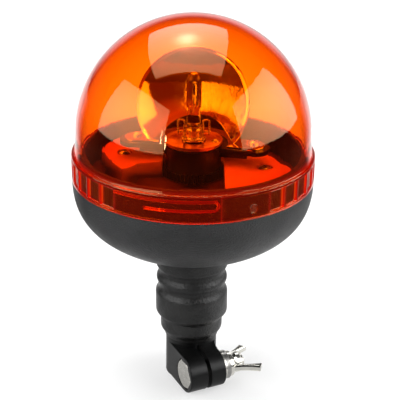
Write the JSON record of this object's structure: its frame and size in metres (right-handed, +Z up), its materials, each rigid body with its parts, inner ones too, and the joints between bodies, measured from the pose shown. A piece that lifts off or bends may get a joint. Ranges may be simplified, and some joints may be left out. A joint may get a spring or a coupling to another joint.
{
  "type": "rotating beacon",
  "caption": "Rotating amber warning beacon: domed twist-off lens over a geared reflector and halogen lamp, on a flexible rubber neck with a split pole clamp.",
  "frame": {"origin": "centre of the pole socket's mouth, at the clamp's flat underside", "axes": "+Z up through the dome, along the pole and the reflector's axis; the clamp ears point to -Y; the clamp bolt lies along X, head at -X and wing nut at +X"},
  "size_m": [0.14, 0.14, 0.2245],
  "materials": {
    "lens_amber": "clear transparent amber polycarbonate, polished",
    "base_black": "fine matt texture",
    "clamp_black": "satin glass-filled nylon",
    "neck_rubber": "matt moulded rubber, slightly dusty",
    "seal_rubber": "smooth",
    "frame_ivory": "moulded, satin",
    "hub_black": "moulded, semi-gloss",
    "insulator_black": "moulded",
    "terminal_white": "moulded",
    "reflector_chrome": "vacuum metallised",
    "hardware_nickel": "bright nickel plated",
    "hardware_zinc": "zinc plated",
    "lamp_metal": "bare stainless",
    "lamp_glass": "clear quartz",
    "lamp_tungsten": "dull grey",
    "contact_brass": "bare",
    "motor_steel": "plated can",
    "lead_red": "insulation"
  },
  "bodies": {
    "pole_clamp": {"clamp_socket": "clamp_black", "hex_bolt": "hardware_nickel", "earth_ring": "contact_brass", "contact_carrier": "insulator_black", "contact_spring": "lamp_metal", "contact_cap": "contact_brass", "flexible_neck": "neck_rubber", "neck_leads": "lead_red"},
    "clamp_washers": {"plain_washer": "hardware_nickel", "spring_washer": "hardware_zinc"},
    "clamp_nut": {"wing_nut": "hardware_nickel"},
    "contact_pin": {"centre_contact": "contact_brass"},
    "beacon_head": {"base_bowl": "base_black", "lens_seal": "seal_rubber", "retaining_plate": "hardware_zinc", "plate_screws": "hardware_zinc", "terminal_block": "terminal_white", "mechanism_frame": "frame_ivory", "frame_screws": "hardware_zinc", "lamp_column": "hub_black", "rotor_retainer": "lamp_metal", "lamp_plate": "hardware_zinc", "plate_rivet": "hardware_zinc", "lamp_base": "lamp_metal", "lamp_glass": "lamp_glass", "lamp_filament": "lamp_tungsten", "lamp_clip": "lamp_metal", "motor_body": "motor_steel", "motor_cap": "insulator_black", "motor_terminals": "contact_brass", "motor_screws": "hardware_zinc", "lamp_leads": "lead_red", "motor_leads": "lead_red"},
    "rotor": {"rotor_hub": "hub_black", "reflector": "reflector_chrome", "reflector_screws": "hardware_zinc"},
    "motor_rotor": {"motor_shaft": "lamp_metal", "motor_pinion": "contact_brass"},
    "lens": {"lens_dome": "lens_amber"}
  },
  "joints": [
    {"name": "head_flex", "type": "hinge", "parent": "pole_clamp", "child": "beacon_head", "pos_m": [0, 0, 0.066], "axis": [1, 0, 0], "range_deg": [-25, 25], "stiffness_Nm_per_rad": 6, "deforming": ["flexible_neck", "neck_leads"]},
    {"name": "lens_turn", "type": "hinge", "parent": "beacon_head", "child": "lens", "pos_m": [0, 0, 0.1305], "axis": [0, 0, 1], "range_deg": [0, 33]},
    {"name": "reflector_spin", "type": "hinge", "parent": "beacon_head", "child": "rotor", "pos_m": [0, 0, 0.14], "axis": [0, 0, 1], "continuous": true},
    {"name": "motor_spin", "type": "hinge", "parent": "beacon_head", "child": "motor_rotor", "pos_m": [0.00894, 0.01834, 0.134], "axis": [0, 0, 1], "continuous": true},
    {"name": "washer_slide", "type": "slide", "parent": "pole_clamp", "child": "clamp_washers", "axis": [1, 0, 0], "range_m": [0, 0.003]},
    {"name": "nut_turn", "type": "hinge", "parent": "clamp_washers", "child": "clamp_nut", "pos_m": [0.008, -0.0224, 0.0115], "axis": [1, 0, 0], "range_deg": [0, 720]},
    {"name": "contact_press", "type": "slide", "parent": "pole_clamp", "child": "contact_pin", "axis": [0, 0, 1], "range_m": [0, 0.003], "stiffness_N_per_m": 500, "springref_m": -0.002, "deforming": ["contact_spring"]}
  ],
  "couplings": [
    {"joint": "motor_spin", "follows": "reflector_spin", "ratio": -4.8},
    {"joint": "washer_slide", "follows": "nut_turn", "m_per_rad": 0.00023873}
  ]
}
